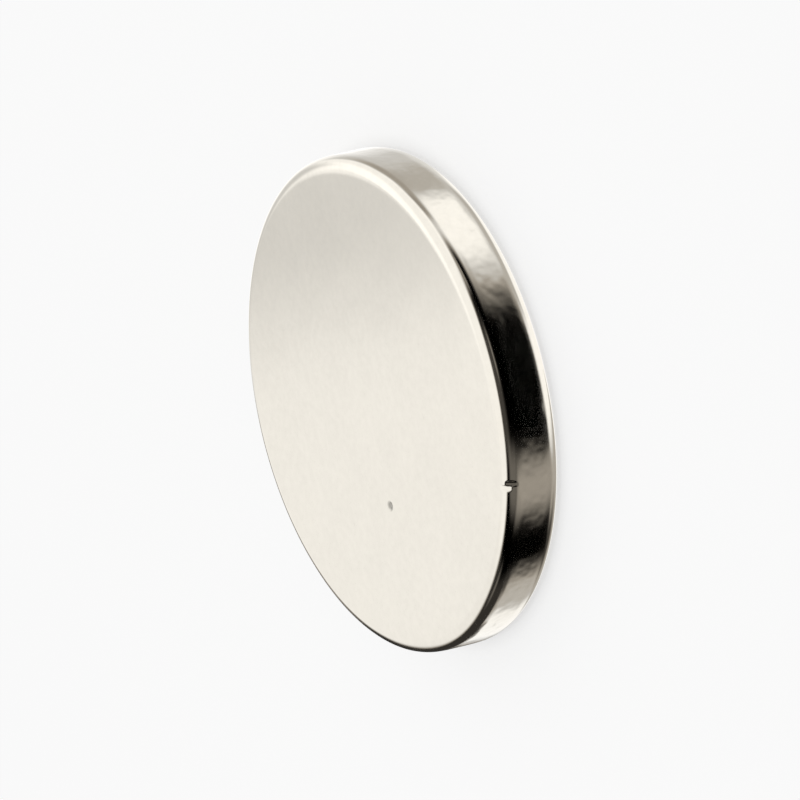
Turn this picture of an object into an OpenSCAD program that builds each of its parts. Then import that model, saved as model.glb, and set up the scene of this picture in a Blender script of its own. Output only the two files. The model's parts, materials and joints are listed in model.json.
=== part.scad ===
// Disc magnet: a short solid cylinder with two flat pole faces, a straight wall
// and a rounded edge round each pole face. It is one solid, plated all over.
// All sizes are in millimetres. The origin is the centre of the pole face that the
// disc rests on, and +Z runs along the disc's axis to the other pole face.

/* [Disc] */
// Outside diameter of the disc
disc_d = 8; // [5:0.5:30]
// Thickness of the disc, from one pole face to the other
disc_t = 1; // [0.8:0.1:5]
// Radius of the rounded edge round each pole face
edge_r = 0.2; // [0.1:0.05:0.35]

/* [Nick in the upper edge] */
// Length along the edge of each of the nick's two flats
nick_l = 0.1; // [0.06:0.02:0.2]
// Depth of the flats, measured square to the rounded edge
nick_depth = 0.03; // [0.02:0.01:0.08]
// Lean of the steep flat, in degrees from the pole face
nick_steep = 58; // [45:1:70]
// Lean of the shallow flat, in degrees from the pole face
nick_shallow = 33; // [15:1:40]
// Direction of the nick round the axis, in degrees from +X
nick_angle = -114.5; // [-180:0.5:180]

/* [Pit in the upper pole face] */
// Width across the mouth of the pit
pit_w = 0.16; // [0.06:0.02:0.2]
// Depth of the pit below the pole face
pit_depth = 0.015; // [0.01:0.005:0.06]
// Distance of the pit from the disc's axis
pit_reach = 1.6; // [0.2:0.1:2]
// Direction of the pit round the axis, in degrees from +X
pit_angle = 174; // [-180:1:180]

/* [Hidden] */
// Facets in a full turn
$fn = 96;
disc_r = disc_d / 2;
// Height of the straight wall between the two rounded edges
wall_h = disc_t - 2 * edge_r;

// Radius of a ball that leaves a dimple of this mouth and depth in a flat face
function ball_r(mouth, depth) = (pow(mouth / 2, 2) + pow(depth, 2)) / (2 * depth);

// Half of the disc's section, from its axis out to its wall
module half_section() {
    square([disc_r - edge_r, disc_t]);
    translate([0, edge_r]) square([disc_r, wall_h]);
    for (z = [edge_r, disc_t - edge_r]) {
        translate([disc_r - edge_r, z]) circle(r = edge_r);
    }
}

// Block that cuts one flat across the upper rounded edge, at +X and from y = shift on
module flat(lean, shift) {
    translate([disc_r - edge_r, shift, disc_t - edge_r])
        rotate([0, lean, 0])
            translate([-2 * edge_r, 0, edge_r - nick_depth])
                cube([4 * edge_r, nick_l, edge_r]);
}

// Nick: a steep and a shallow flat, side by side across the rounded edge
module nick() {
    rotate([0, 0, nick_angle]) {
        flat(nick_steep, 0);
        flat(nick_shallow, -nick_l);
    }
}

// Ball that cuts the pit into the upper pole face
module pit() {
    ball = ball_r(pit_w, pit_depth);
    rotate([0, 0, pit_angle])
        translate([pit_reach, 0, disc_t + ball - pit_depth])
            sphere(r = ball);
}

// The whole magnet
module disc() {
    color([0.83, 0.79, 0.71])
        difference() {
            rotate_extrude() half_section();
            nick();
            pit();
        }
}

disc();
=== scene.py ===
"""Looks of a nickel plated disc magnet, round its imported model, laid out as a Blender add-on."""

import json
import math
from typing import NamedTuple

import bpy
from bpy.props import FloatProperty, FloatVectorProperty, IntProperty, PointerProperty
from bpy.types import Operator, Panel, PropertyGroup
from mathutils import Matrix, Vector, noise


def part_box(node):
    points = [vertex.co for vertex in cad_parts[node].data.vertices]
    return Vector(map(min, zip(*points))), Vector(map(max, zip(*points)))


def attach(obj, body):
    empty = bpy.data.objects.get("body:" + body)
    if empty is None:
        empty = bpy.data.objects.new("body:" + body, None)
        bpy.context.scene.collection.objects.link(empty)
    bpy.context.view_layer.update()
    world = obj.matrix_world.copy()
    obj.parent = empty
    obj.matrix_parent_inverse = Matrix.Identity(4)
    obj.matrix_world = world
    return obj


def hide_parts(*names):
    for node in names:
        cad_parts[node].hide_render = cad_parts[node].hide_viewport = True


bl_info = {
    "name": "Disc magnet",
    "version": (1, 0, 0),
    "blender": (4, 5, 0),
    "location": "View3D > Sidebar > Magnet",
    "description": "Plated disc magnet with a light tent, a floor and a camera",
    "category": "Object",
}

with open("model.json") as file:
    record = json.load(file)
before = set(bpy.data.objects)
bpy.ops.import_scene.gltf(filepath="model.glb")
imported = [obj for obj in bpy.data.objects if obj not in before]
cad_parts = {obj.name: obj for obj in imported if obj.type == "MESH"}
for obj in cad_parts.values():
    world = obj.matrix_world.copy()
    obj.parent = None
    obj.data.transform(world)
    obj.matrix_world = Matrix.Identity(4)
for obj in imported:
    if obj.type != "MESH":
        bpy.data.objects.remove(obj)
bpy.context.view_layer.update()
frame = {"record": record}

MM = 0.001
NODE = "disc"
BODY = "root"

# The record's wall mount gives the radius and the height of the straight wall
LOW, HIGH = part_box(NODE)
THICKNESS = HIGH.z - LOW.z
WALL = next(mount for mount in frame["record"]["mounts"] if mount["name"] == "wall")
RADIUS = WALL["dims"]["r_mm"] * MM
WALL_HEIGHT = WALL["dims"]["length_mm"] * MM
EDGE_RADIUS = (THICKNESS - WALL_HEIGHT) / 2
FLAT_RADIUS = RADIUS - EDGE_RADIUS


# Sizes and colours that a user would change


def length(name, description, size, precision=6):
    """A property for a length whose default is given in millimetres."""
    return FloatProperty(name=name, description=description, default=size * MM, unit="LENGTH",
                         precision=precision)


def angle(name, description, degrees):
    """A property for an angle whose default is given in degrees."""
    return FloatProperty(name=name, description=description, default=math.radians(degrees),
                         subtype="ANGLE")


class MagnetShape(PropertyGroup):
    facets: IntProperty(name="Facets", description="Facets in a full turn, away from the marks",
                        default=420, min=24)
    face_step: length("Face step", "Distance between the rings of points on a pole face", 0.08)
    edge_step: length("Edge step", "Distance between the rings of points on a rounded edge", 0.016)
    mark_step: length("Mark step", "Distance between the points beside the nick and the pit", 0.012)
    wave_height: length("Wave height", "Height of the slow waves in the plated surface", 0.0014, 8)
    wave_length: length("Wave length", "Length of the slow waves in the plated surface", 1.1)
    roll_off: length(
        "Roll off", "How far the metal falls away where a pole face meets its edge", 0.003, 7)
    roll_start: length("Roll start", "How far inside the rounded edge the roll off starts", 0.045)
    roll_swell: length("Roll swell", "How much further inside it starts on its wide side", 0.055)
    roll_side: angle("Roll side", "Direction of the wide side of the roll off", -19)
    roll_width: length("Roll width", "Width of the roll off along the section", 0.26)
    wall_roll: length("Wall roll", "How far the metal falls away at the ends of the wall", 0.0055, 7)
    wall_roll_start: length("Wall roll start", "How far along the wall its roll off starts", 0.09)
    nick_angle: angle("Nick angle", "Direction of the nick round the axis", -114.5)
    nick_length: length("Nick length", "Length along the edge of each of the nick's two flats", 0.1)
    nick_depth: length("Nick depth", "Depth of the nick's flats, square to the rounded edge", 0.03)
    nick_steep: angle("Steep flat", "Lean of the nick's steep flat from the pole face", 58)
    nick_shallow: angle("Shallow flat", "Lean of the nick's shallow flat from the pole face", 33)
    pit_angle: angle("Pit angle", "Direction of the pit round the axis", 174)
    pit_reach: length("Pit reach", "Distance of the pit from the axis", 1.6)
    pit_width: length("Pit width", "Width across the mouth of the pit", 0.16)
    pit_depth: length("Pit depth", "Depth of the pit below the pole face", 0.015)


class MagnetFinish(PropertyGroup):
    plate_colour: FloatVectorProperty(
        name="Plate colour", description="Colour of the nickel plating",
        default=(0.83, 0.79, 0.71), subtype="COLOR", min=0, max=1)
    face_roughness: FloatProperty(
        name="Face roughness", description="Roughness of the pole faces", default=0.11)
    wall_roughness: FloatProperty(
        name="Wall roughness", description="Roughness of the straight wall", default=0.12)
    grain_height: length("Grain height", "Height of the fine grain of the plating", 0.00012, 8)
    dapple_height: length("Dapple height", "Height of the dapples in the wall's plating", 0.015, 8)
    pit_tone: FloatProperty(
        name="Pit tone", description="How dark the plating is inside the pit", default=0.45)


class MagnetStage(PropertyGroup):
    tent_radius: length("Tent radius", "Radius of the light tent that the metal reflects", 40, 4)
    tent_light: FloatProperty(
        name="Tent light", description="Brightness of the tent's white fabric", default=1.2)
    tent_tint: FloatVectorProperty(
        name="Tent tint", description="Colour of the tent's grey cards",
        default=(1.0, 0.93, 0.84), subtype="COLOR", min=0, max=1)
    floor_width: length("Floor width", "Width of the square floor", 3000, 3)
    floor_colour: FloatVectorProperty(
        name="Floor colour", description="Colour of the floor",
        default=(0.95, 0.95, 0.95), subtype="COLOR", min=0, max=1)
    floor_glow: FloatProperty(
        name="Floor glow", description="Share of plain white in the floor that the camera sees",
        default=0.6)
    sky_light: FloatProperty(
        name="Sky light", description="Brightness of the light from all round", default=0.6)
    lamp_power: FloatProperty(
        name="Lamp power", description="Power of the soft lamp over the disc",
        default=0.05, unit="POWER", precision=4)
    lamp_size: length("Lamp size", "Width of the soft lamp", 60, 4)
    lamp_height: length("Lamp height", "Height of the soft lamp over the floor", 120, 4)
    camera_distance: length("Camera distance", "Distance from the camera to the disc's middle", 166, 4)
    camera_height: angle("Camera height", "Angle of the line of sight above the pole face", 28.65)
    camera_side: angle("Camera side", "Turn of the camera round the disc's axis, from -Y", 0.8)
    camera_roll: angle("Camera roll", "Turn of the camera about its line of sight", 103.2)
    picture_width: length("Picture width", "Width of what the camera sees at the disc", 12.6, 4)


# The light tent, which only reflections show. All its angles are in degrees, with the azimuth counted
# from +X towards +Y and the elevation from level. A tone of 1 is its plain white fabric


class Card(NamedTuple):
    """A card on the tent between two elevations, with its tone and how far its edges fade."""

    azimuth: float
    half_width: float
    low: float
    high: float
    tone: float
    side_fade: float
    end_fade: float


class Spot(NamedTuple):
    """A round patch of the tent, with its tone and how far its edge fades."""

    azimuth: float
    elevation: float
    radius: float
    tone: float
    fade: float


# Each card or spot covers the ones before it
TENT = {
    # A grey floor and the dark sides of a room
    "grey_floor": Card(177, 54, -90, -34, 0.4, 14, 3),
    "floor_shade": Spot(180, -41, 14, 0.05, 9),
    "dark_room": Card(-123, 78, -36.4, 90, 0.0, 20, 1.5),
    "dark_curtain": Card(-63, 14, -12, 40, 0.0, 8, 8),
    "dark_doorway": Card(138, 42, -24, 90, 0.03, 6, 3),
    "dark_step": Card(113, 12, -24, 6, 0.03, 5, 8),
    "grey_wall_foot": Card(96, 8, -24, 8, 0.27, 4, 4),
    # Its ceiling
    "pale_ceiling": Spot(62, 60, 56, 0.94, 8),
    "ceiling_lamp": Spot(62, 38, 18, 1.12, 8),
    "ceiling_shade": Spot(122, 35, 22, 0.86, 8),
    # Faint light in the dark sides, which the upper pole face shows when seen from behind
    "dark_corner": Spot(-45, 5, 20, 0.0, 12),
    "room_haze": Card(-98, 34, 16, 62, 0.05, 12, 12),
    "corner_window": Card(-42, 8, 10, 21, 0.28, 4, 4),
    "back_window": Card(-80, 9, 15, 24, 0.22, 7, 4),
    "side_window": Card(174, 9, 11, 22, 0.13, 7, 4),
    # Cards beside the disc
    "low_shade": Card(58, 9, -34, -20, 0.78, 8, 4),
    "wide_grey_card": Card(31, 23, -34, 4, 0.56, 9, 6),
    "narrow_grey_card": Card(16, 13, -34, 6, 0.44, 7, 8),
    "dark_grey_card": Card(-6, 12, -12, 12, 0.28, 8, 8),
    "grey_card_shade": Card(17, 21, -18, 0, 0.34, 11, 7),
    "pale_card": Card(74, 14, 0, 24, 0.6, 6, 8),
    "grey_strip": Card(-139, 12, -42, -14, 0.32, 9, 10),
    "strip_glow": Card(-133, 13, -14, 34, 0.13, 7, 10),
    # Low cards, and dark gaps over them
    "low_grey_card": Card(161, 13, -35, -24, 0.47, 10, 3),
    "low_white_card": Card(133, 15, -35, -24, 0.96, 6, 3),
    "low_dim_card": Card(104, 10, -35, -24, 0.4, 8, 3),
    "low_dark_card": Card(96, 9, -31.5, -24, 0.03, 4, 2),
    "dark_lintel": Card(130, 14, -26, -12, 0.03, 4, 1),
    "dark_sill": Card(105, 10, -27.6, -12, 0.02, 4, 1),
    # The rim of a table
    "table_rim": Card(-22, 42, -51, -32, 0.46, 12, 4),
    "table_corner": Card(50, 30, -42, -32, 0.7, 12, 3),
}
# The card that the upper pole face shows to the camera, over all the others. Between the two azimuths
# of its grade, its tone rises from the dim one to its own
FACE_CARD = Card(91, 9, 22, 33.5, 0.88, 0.8, 1)
FACE_CARD_DIM = 0.64
FACE_CARD_GRADE = (84.5, 90.5)
# Tones between which the tint of the grey cards fades to white
TINT_FADE = (0.3, 0.62)


def direction(azimuth, elevation):
    """Unit vector at these angles in degrees, the azimuth counted from +X."""
    a, e = math.radians(azimuth), math.radians(elevation)
    return Vector((math.cos(e) * math.cos(a), math.cos(e) * math.sin(a), math.sin(e)))


# Shader expressions

# Places of a Mix node's colour sockets, because it repeats their names for other kinds of data
MIX_FACTOR, MIX_A, MIX_B = 0, 6, 7
MIX_RESULT = 2


class Value:
    """An output socket that takes part in Python expressions."""

    def __init__(self, shader, socket):
        self.shader = shader
        self.socket = socket

    def out(self, name):
        """Another output of the same node."""
        return Value(self.shader, self.socket.node.outputs[name])

    def math(self, operation, *others):
        """A Math node that takes this value first."""
        return self.shader.math(operation, self, *others)

    def __add__(self, other):
        return self.shader.math("ADD", self, other)

    def __radd__(self, other):
        return self.shader.math("ADD", other, self)

    def __sub__(self, other):
        return self.shader.math("SUBTRACT", self, other)

    def __rsub__(self, other):
        return self.shader.math("SUBTRACT", other, self)

    def __mul__(self, other):
        return self.shader.math("MULTIPLY", self, other)

    def __rmul__(self, other):
        return self.shader.math("MULTIPLY", other, self)


class Shader:
    """Builds the node tree of one material or world."""

    def __init__(self, owner):
        owner.use_nodes = True
        self.tree = owner.node_tree
        self.tree.nodes.clear()

    def add(self, kind, settings=None, sockets=None):
        """A node of this kind, its settings made first, as the Value of its first output."""
        node = self.tree.nodes.new(kind)
        for name, setting in (settings or {}).items():
            setattr(node, name, setting)
        for name, given in (sockets or {}).items():
            if isinstance(given, Value):
                self.tree.links.new(given.socket, node.inputs[name])
            else:
                node.inputs[name].default_value = given
        return Value(self, node.outputs[0]) if node.outputs else node

    def math(self, operation, *values):
        return self.add("ShaderNodeMath", {"operation": operation}, dict(enumerate(values)))

    def vector(self, operation, *values, output="Vector"):
        node = self.add("ShaderNodeVectorMath", {"operation": operation}, dict(enumerate(values)))
        return node.out(output)

    def scaled(self, vector, factor):
        return self.add("ShaderNodeVectorMath", {"operation": "SCALE"},
                        {"Vector": vector, "Scale": factor})

    def parts(self, vector):
        """The X, Y and Z of a vector."""
        split = self.add("ShaderNodeSeparateXYZ", {}, {"Vector": vector})
        return split.out("X"), split.out("Y"), split.out("Z")

    def smooth(self, value, low, high):
        """0 below low and 1 above high, with a smooth step between."""
        return self.add("ShaderNodeMapRange", {"interpolation_type": "SMOOTHSTEP"},
                        {"Value": value, "From Min": low, "From Max": high})

    def noise(self, place, pattern):
        return self.add("ShaderNodeTexNoise", {"noise_dimensions": "3D"},
                        {"Vector": place, "Scale": pattern.scale, "Detail": pattern.detail,
                         "Roughness": pattern.roughness}).out("Fac")

    def mix(self, factor, a, b):
        """The colour a where factor is 0 and b where it is 1."""
        node = self.add("ShaderNodeMix", {"data_type": "RGBA"},
                        {MIX_FACTOR: factor, MIX_A: a, MIX_B: b})
        return node.out(MIX_RESULT)


def opaque(colour):
    return (*colour, 1.0)


# Materials


class Pattern(NamedTuple):
    """A noise texture. Its scale is in patches to a millimetre."""

    scale: float
    detail: float
    roughness: float


GRAIN = Pattern(7.0, 3.0, 0.6)
CLOUD = Pattern(1.3, 2.0, 0.5)
DAPPLE = Pattern(2.2, 2.0, 0.5)
MIDDLE_LEVEL = 0.5      # of each of these noises

# Levels of the noise between which the grain and the clouds darken the plate, and the specks appear
MOTTLE_LEVELS = (0.3, 0.7)
SPECK_LEVELS = (0.69, 0.76)
# The share of the plate's colour that each takes away
GRAIN_SHADE = 0.035
CLOUD_SHADE = 0.02
SPECK_SHADE = 0.06
# How much the roughness changes from the lowest grain to the highest
GRAIN_ROUGHNESS = 0.04

# Where the dapples fade out, in wall heights from the wall's middle
DAPPLE_FADE = (0.25, 0.5)
# Where the darker plating inside the pit fades out, in pit widths from the pit's middle
PIT_DARKENING_FADE = (0.25, 0.65)


def nickel_plate(shape, finish):
    """Bright nickel with the faint grain of barrel plating, dappled and a little rougher on the wall."""
    material = bpy.data.materials.new("nickel_plate")
    shader = Shader(material)
    place = shader.scaled(shader.add("ShaderNodeTexCoord").out("Object"), 1 / MM)
    x, y, z = shader.parts(place)
    wall = shader.smooth((x * x + y * y).math("SQRT"), FLAT_RADIUS / MM, RADIUS / MM)
    off_middle = (z - THICKNESS / 2 / MM).math("ABSOLUTE")
    dapple_fade = (part * WALL_HEIGHT / MM for part in DAPPLE_FADE)
    wall_middle = wall * (1 - shader.smooth(off_middle, *dapple_fade))

    grain = shader.noise(place, GRAIN)
    cloud = shader.noise(place, CLOUD)
    dapple = shader.noise(place, DAPPLE)
    specks = shader.smooth(grain, *SPECK_LEVELS)

    pit = (shape.pit_reach / MM * math.cos(shape.pit_angle),
           shape.pit_reach / MM * math.sin(shape.pit_angle), THICKNESS / MM)
    from_pit = shader.vector("DISTANCE", place, pit, output="Value")
    # The plating is made darker inside the pit, fading out round it
    pit_darkening_fade = (part * shape.pit_width / MM for part in PIT_DARKENING_FADE)
    pit_darkening = 1 - shader.smooth(from_pit, *pit_darkening_fade)

    tone = (1 - GRAIN_SHADE * shader.smooth(grain, *MOTTLE_LEVELS)
            - CLOUD_SHADE * shader.smooth(cloud, *MOTTLE_LEVELS))
    tone = tone * (1 - SPECK_SHADE * specks) * (1 - (1 - finish.pit_tone) * pit_darkening)
    colour = shader.mix(tone, opaque((0, 0, 0)), opaque(finish.plate_colour))
    roughness = (finish.face_roughness + wall * (finish.wall_roughness - finish.face_roughness)
                 + (grain - MIDDLE_LEVEL) * GRAIN_ROUGHNESS)
    height = (grain * (finish.grain_height / MM)
              + wall_middle * (dapple - MIDDLE_LEVEL) * (finish.dapple_height / MM))
    bump = shader.add("ShaderNodeBump", {}, {"Height": height, "Strength": 1.0, "Distance": MM})
    surface = shader.add("ShaderNodeBsdfPrincipled", {}, {
        "Base Color": colour, "Metallic": 1.0, "Roughness": roughness, "Normal": bump})
    shader.add("ShaderNodeOutputMaterial", {}, {"Surface": surface})
    return material


def floor_paper(stage):
    """White paper, partly lit by itself where the camera sees it, which keeps a pale shadow."""
    material = bpy.data.materials.new("floor_paper")
    shader = Shader(material)
    paper = shader.add("ShaderNodeBsdfDiffuse", {}, {"Color": opaque(stage.floor_colour)})
    white = shader.add("ShaderNodeEmission", {}, {"Color": opaque((1, 1, 1)), "Strength": 1.0})
    seen = shader.add("ShaderNodeLightPath").out("Is Camera Ray")
    surface = shader.add("ShaderNodeMixShader", {}, {0: stage.floor_glow * seen, 1: paper, 2: white})
    shader.add("ShaderNodeOutputMaterial", {}, {"Surface": surface})
    return material


def tent_fabric(stage):
    """White fabric with the tent's cards and spots laid over it in their order."""
    material = bpy.data.materials.new("tent_fabric")
    shader = Shader(material)
    aim = shader.vector("NORMALIZE", shader.add("ShaderNodeTexCoord").out("Object"))
    x, y, z = shader.parts(aim)
    azimuth = y.math("ARCTAN2", x).math("DEGREES")
    elevation = z.math("ARCSINE").math("DEGREES")

    def past(value, edge, fade):
        """0 before the edge and 1 past it, faded to both sides."""
        return shader.smooth(value, edge - fade, edge + fade)

    def card_mask(card):
        off = (azimuth - card.azimuth).math("WRAP", 180, -180).math("ABSOLUTE")
        inside = 1 - past(off, card.half_width, card.side_fade)
        above = past(elevation, card.low, card.end_fade)
        below = 1 - past(elevation, card.high, card.end_fade)
        return inside * above * below

    def spot_mask(spot):
        centre = tuple(direction(spot.azimuth, spot.elevation))
        cosine = shader.vector("DOT_PRODUCT", aim, centre, output="Value")
        return 1 - past(cosine.math("ARCCOSINE").math("DEGREES"), spot.radius, spot.fade)

    tone = 1.0
    for patch in TENT.values():
        mask = card_mask(patch) if isinstance(patch, Card) else spot_mask(patch)
        tone = tone * (1 - mask) + mask * patch.tone
    mask = card_mask(FACE_CARD)
    rise = shader.smooth(azimuth, *FACE_CARD_GRADE)
    tone = tone * (1 - mask) + mask * (FACE_CARD_DIM + (FACE_CARD.tone - FACE_CARD_DIM) * rise)

    tint = shader.mix(shader.smooth(tone, *TINT_FADE), opaque(stage.tent_tint), opaque((1, 1, 1)))
    light = shader.add("ShaderNodeEmission", {}, {
        "Color": shader.scaled(tint, tone), "Strength": stage.tent_light})
    shader.add("ShaderNodeOutputMaterial", {}, {"Surface": light})
    material.cycles.emission_sampling = "NONE"
    return material


# Meshes

# Steps get shorter towards a rounded edge and towards a mark: at most the way left, over these
EDGE_EASE = 6
MARK_EASE = 4
WALL_STEP = 1.5         # in edge steps
LOWER_FACE_STEP = 3     # in face steps, inside the rim
LOWER_RIM = 2           # in roll starts
# The higher, the narrower the wide side of the roll off, and the squarer the ends of the nick
ROLL_LOBE = 6
NICK_ROUNDING = 6
# The lowest lean of the surface that the nick cuts, and the least cosine between it and the nick's flat
NICK_LOWEST = 0.6 * math.pi
NICK_LEAST_FACING = 0.2
# The quick waves, in lengths and heights of the slow ones
QUICK_LENGTH = 0.4
QUICK_HEIGHT = 0.5
BALL_ROWS = 48
BALL_COLUMNS = 96


def graded(start, stop, step_at):
    """Values from start to stop, each as far from the last as step_at gives there."""
    values = [start]
    while values[-1] < stop:
        values.append(values[-1] + step_at(values[-1]))
    stretch = (stop - start) / (values[-1] - start)
    return [start + (value - start) * stretch for value in values]


def turn_from(start, turn):
    """How far turn is from start, from half a turn back to half a turn on."""
    return (turn - start + math.pi) % (2 * math.pi) - math.pi


class SectionPoint(NamedTuple):
    """A point of the half section, and the lean of the surface there from the upper pole face."""

    reach: float
    height: float
    lean: float


def section(shape):
    """Points of the half section from the upper pole face, over the wall, to the lower one."""

    def face_step(reach):
        to_pit = abs(reach - shape.pit_reach) - shape.pit_width / 2
        return min(shape.face_step, max(shape.edge_step, (FLAT_RADIUS - reach) / EDGE_EASE),
                   max(shape.mark_step, to_pit / MARK_EASE))

    def edge_point(lean):
        reach = FLAT_RADIUS + EDGE_RADIUS * math.sin(lean)
        rise = EDGE_RADIUS * (1 - abs(math.cos(lean)))
        return SectionPoint(reach, THICKNESS - rise if lean <= math.pi / 2 else rise, lean)

    steps = round(EDGE_RADIUS * math.pi / 2 / shape.edge_step)
    quarter = [math.pi / 2 * step / steps for step in range(steps + 1)]
    rows = round(WALL_HEIGHT / (WALL_STEP * shape.edge_step))
    points = [SectionPoint(reach, THICKNESS, 0.0)
              for reach in graded(shape.face_step, FLAT_RADIUS, face_step)[:-1]]
    points += [edge_point(lean) for lean in quarter]
    points += [SectionPoint(RADIUS, THICKNESS - EDGE_RADIUS - WALL_HEIGHT * row / rows, math.pi / 2)
               for row in range(1, rows)]
    points += [edge_point(math.pi - lean) for lean in reversed(quarter)][1:]
    rim = FLAT_RADIUS - LOWER_RIM * shape.roll_start
    inner = graded(0, rim, lambda reach: LOWER_FACE_STEP * shape.face_step)[1:]
    outer = graded(rim, FLAT_RADIUS, lambda reach: shape.edge_step)[1:-1]
    points += [SectionPoint(reach, 0.0, math.pi) for reach in reversed(inner + outer)]
    return points


def swell_between(along, start, width):
    """0 before start, up to 1 halfway along width, and 0 again after it, without a corner."""
    share = (along - start) / width
    return (1 - math.cos(2 * math.pi * share)) / 2 if 0 < share < 1 else 0.0


def roll_off(spot, turn, shape):
    """How far the surface lies below the plain section beside each rounded edge."""
    lean = min(spot.lean, math.pi - spot.lean)
    past_face = EDGE_RADIUS * lean if lean > 0 else spot.reach - FLAT_RADIUS
    past_wall = EDGE_RADIUS * (math.pi / 2 - lean)
    if spot.reach == RADIUS:
        past_wall = abs(spot.height - THICKNESS / 2) - WALL_HEIGHT / 2
    start = shape.roll_start + shape.roll_swell * max(0.0, math.cos(turn - shape.roll_side)) ** ROLL_LOBE
    width = shape.roll_width + start - shape.roll_start
    return (shape.roll_off * swell_between(past_face, -start, width)
            + shape.wall_roll * swell_between(past_wall, -shape.wall_roll_start, shape.roll_width))


def nick_cut(spot, turn, shape):
    """Depth that the nick's two flats cut from this point of the upper edge."""
    along = RADIUS * turn_from(shape.nick_angle, turn)
    if abs(along) > shape.nick_length or spot.lean > NICK_LOWEST:
        return 0.0
    lean = shape.nick_steep if along > 0 else shape.nick_shallow
    facing = math.cos(spot.lean - lean)
    if facing < NICK_LEAST_FACING:
        return 0.0
    out, up = spot.reach - FLAT_RADIUS, spot.height - (THICKNESS - EDGE_RADIUS)
    depth = shape.nick_depth * (1 - abs(along / shape.nick_length) ** NICK_ROUNDING)
    over = out * math.sin(lean) + up * math.cos(lean) - (EDGE_RADIUS - depth)
    return max(0.0, over) / facing


def pit_cut(spot, turn, shape):
    """Depth of the pit at this point of the upper pole face."""
    if spot.lean > 0:
        return 0.0
    away = math.hypot(spot.reach * math.cos(turn) - shape.pit_reach * math.cos(shape.pit_angle),
                      spot.reach * math.sin(turn) - shape.pit_reach * math.sin(shape.pit_angle))
    share = away / (shape.pit_width / 2)
    return shape.pit_depth * max(0.0, 1 - share ** 2)


def waves(point, shape):
    """Height of the slow and the quick waves in the plating at this point."""
    slow = noise.noise(point / shape.wave_length)
    quick = noise.noise(point / (QUICK_LENGTH * shape.wave_length))
    return shape.wave_height * (slow + QUICK_HEIGHT * quick)


def disc_mesh(shape):
    """The plated disc as a lathe, its rings and columns closer together beside the two marks."""

    def turn_step(turn):
        to_nick = abs(turn_from(shape.nick_angle, turn)) - shape.nick_length / RADIUS
        to_pit = abs(turn_from(shape.pit_angle, turn)) - shape.pit_width / 2 / shape.pit_reach
        return min(2 * math.pi / shape.facets,
                   max(shape.mark_step / RADIUS, to_nick / MARK_EASE),
                   max(shape.mark_step / shape.pit_reach, to_pit / MARK_EASE))

    turns = graded(-math.pi, math.pi, turn_step)[:-1]
    points = section(shape)
    spots = []
    for spot in points:
        for turn in turns:
            c, s = math.cos(turn), math.sin(turn)
            place = Vector((spot.reach * c, spot.reach * s, spot.height))
            out = Vector((math.sin(spot.lean) * c, math.sin(spot.lean) * s, math.cos(spot.lean)))
            cut = (max(roll_off(spot, turn, shape), nick_cut(spot, turn, shape))
                   + pit_cut(spot, turn, shape))
            spots.append(place + out * (waves(place, shape) - cut))

    across = len(turns)
    faces = []
    for ring in range(len(points) - 1):
        for column in range(across):
            a = ring * across + column
            b = ring * across + (column + 1) % across
            faces.append((b, a, a + across, b + across))
    top, bottom = len(spots), len(spots) + 1
    spots += [Vector((0, 0, THICKNESS)), Vector((0, 0, 0))]
    last = (len(points) - 1) * across
    for column in range(across):
        after = (column + 1) % across
        faces.append((top, column, after))
        faces.append((bottom, last + after, last + column))
    return smooth_mesh("magnet_disc", spots, faces)


def ball_mesh(name, radius):
    """A sphere, for the tent."""
    rows, columns = BALL_ROWS, BALL_COLUMNS
    spots = []
    for row in range(1, rows):
        for column in range(columns):
            spots.append(radius * direction(360 * column / columns, 180 * row / rows - 90))
    faces = []
    for row in range(rows - 2):
        for column in range(columns):
            a = row * columns + column
            b = row * columns + (column + 1) % columns
            faces.append((a, b, b + columns, a + columns))
    for pole, first in ((-radius, 0), (radius, (rows - 2) * columns)):
        tip = len(spots)
        spots.append(Vector((0, 0, pole)))
        faces += [(tip, first + column, first + (column + 1) % columns) for column in range(columns)]
    return smooth_mesh(name, spots, faces)


def smooth_mesh(name, spots, faces):
    mesh = bpy.data.meshes.new(name)
    mesh.from_pydata(spots, [], faces)
    mesh.polygons.foreach_set("use_smooth", [True] * len(mesh.polygons))
    return mesh


def put(name, data, place=(0, 0, 0)):
    piece = bpy.data.objects.new(name, data)
    piece.location = place
    bpy.context.scene.collection.objects.link(piece)
    return piece


# Operators


class MAGNET_OT_disc(Operator):
    """Add the plated disc in place of the plain solid"""

    bl_idname = "magnet.disc"
    bl_label = "Add disc"

    def execute(self, context):
        scene = context.scene
        piece = put("plated_disc", disc_mesh(scene.magnet_shape))
        piece.data.materials.append(nickel_plate(scene.magnet_shape, scene.magnet_finish))
        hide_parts(NODE)
        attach(piece, BODY)
        return {"FINISHED"}


def add_world(stage):
    """Soft light from all round, with a white background behind the floor."""
    world = bpy.data.worlds.new("white_room")
    shader = Shader(world)
    seen = shader.add("ShaderNodeLightPath").out("Is Camera Ray")
    strength = stage.sky_light + (1 - stage.sky_light) * seen
    sky = shader.add("ShaderNodeBackground", {}, {"Color": opaque((1, 1, 1)), "Strength": strength})
    shader.add("ShaderNodeOutputWorld", {}, {"Surface": sky})
    bpy.context.scene.world = world


def add_floor(stage):
    half = stage.floor_width / 2
    sheet = bpy.data.meshes.new("floor")
    sheet.from_pydata([(-half, -half, 0), (half, -half, 0), (half, half, 0), (-half, half, 0)],
                      [], [(0, 1, 2, 3)])
    sheet.materials.append(floor_paper(stage))
    floor = put("floor", sheet)
    floor.visible_glossy = False


def add_tent(stage, middle):
    tent = put("light_tent", ball_mesh("light_tent", stage.tent_radius), middle)
    tent.data.materials.append(tent_fabric(stage))
    tent.visible_camera = False
    tent.visible_diffuse = False
    tent.visible_shadow = False


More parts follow.
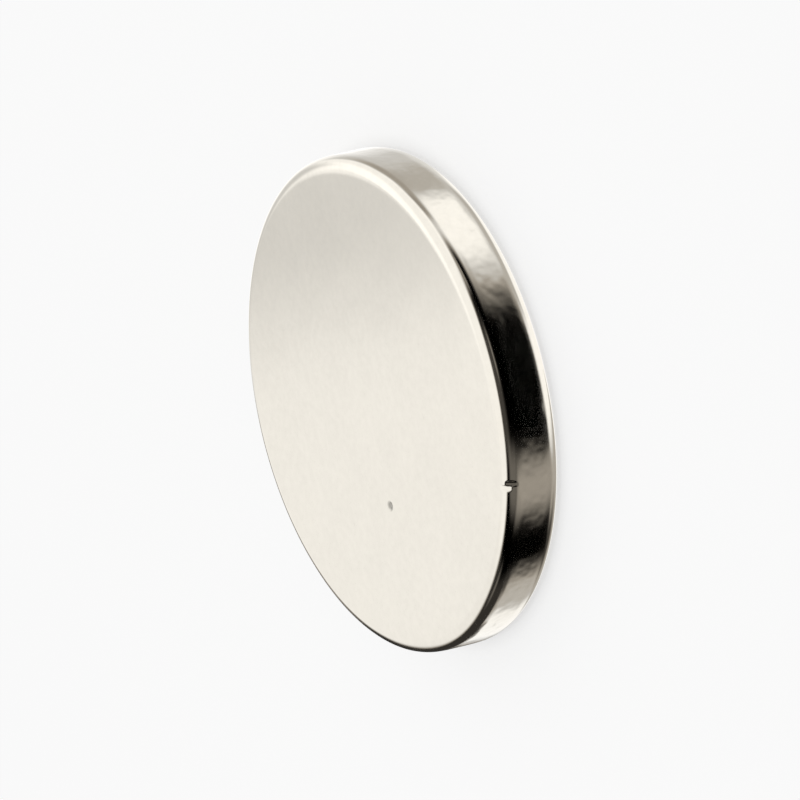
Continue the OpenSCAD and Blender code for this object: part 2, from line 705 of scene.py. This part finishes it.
def add_lamp(stage):
    """A round soft lamp straight over the disc, which the metal doesn't show."""
    lamp_data = bpy.data.lights.new("soft_lamp", "AREA")
    lamp_data.shape = "DISK"
    lamp_data.size = stage.lamp_size
    lamp_data.energy = stage.lamp_power
    lamp = put("soft_lamp", lamp_data, (0, 0, stage.lamp_height))
    lamp.visible_glossy = False


# The camera sees from this many times nearer than the disc to this many times further
CLIP_NEARER = 10
CLIP_FURTHER = 100


def add_camera(stage, middle):
    """Camera that looks down on the pole face, rolled so that the disc stands tall in the picture."""
    data = bpy.data.cameras.new("camera")
    camera = put("camera", data)
    level = Vector((math.cos(stage.camera_side), math.sin(stage.camera_side), 0))
    back = level.cross(Vector((0, 0, 1))) * math.cos(stage.camera_height)
    back.z = math.sin(stage.camera_height)
    upright = back.cross(level)
    up = upright * math.cos(stage.camera_roll) + level * math.sin(stage.camera_roll)
    turn = Matrix((up.cross(back), up, back)).transposed().to_4x4()
    camera.matrix_world = Matrix.Translation(middle + back * stage.camera_distance) @ turn
    data.lens = data.sensor_width * stage.camera_distance / stage.picture_width
    data.clip_start = stage.camera_distance / CLIP_NEARER
    data.clip_end = stage.camera_distance * CLIP_FURTHER
    bpy.context.scene.camera = camera


class MAGNET_OT_stage(Operator):
    """Add the floor, the light tent, the lamp and the camera"""

    bl_idname = "magnet.stage"
    bl_label = "Add stage"

    def execute(self, context):
        stage = context.scene.magnet_stage
        middle = Vector((0, 0, THICKNESS / 2))
        context.scene.view_settings.view_transform = "Standard"
        add_world(stage)
        add_floor(stage)
        add_tent(stage, middle)
        add_lamp(stage)
        add_camera(stage, middle)
        return {"FINISHED"}


class MAGNET_PT_tools(Panel):
    """Shows the settings of the disc, its finish and its stage, and the buttons that add them"""

    bl_label = "Disc magnet"
    bl_idname = "MAGNET_PT_tools"
    bl_space_type = "VIEW_3D"
    bl_region_type = "UI"
    bl_category = "Magnet"

    def draw(self, context):
        layout = self.layout
        for group in GROUPS:
            settings = getattr(context.scene, group)
            box = layout.box()
            for name in settings.__annotations__:
                box.prop(settings, name)
        for operator in (MAGNET_OT_disc, MAGNET_OT_stage):
            layout.operator(operator.bl_idname)


GROUPS = {"magnet_shape": MagnetShape, "magnet_finish": MagnetFinish, "magnet_stage": MagnetStage}
CLASSES = (*GROUPS.values(), MAGNET_OT_disc, MAGNET_OT_stage, MAGNET_PT_tools)


def register():
    for cls in CLASSES:
        bpy.utils.register_class(cls)
    for name, group in GROUPS.items():
        setattr(bpy.types.Scene, name, PointerProperty(type=group))


def unregister():
    for name in GROUPS:
        delattr(bpy.types.Scene, name)
    for cls in reversed(CLASSES):
        bpy.utils.unregister_class(cls)


def main():
    register()
    bpy.ops.magnet.disc()
    bpy.ops.magnet.stage()
    bpy.context.view_layer.update()


if __name__ == "__main__":
    main()
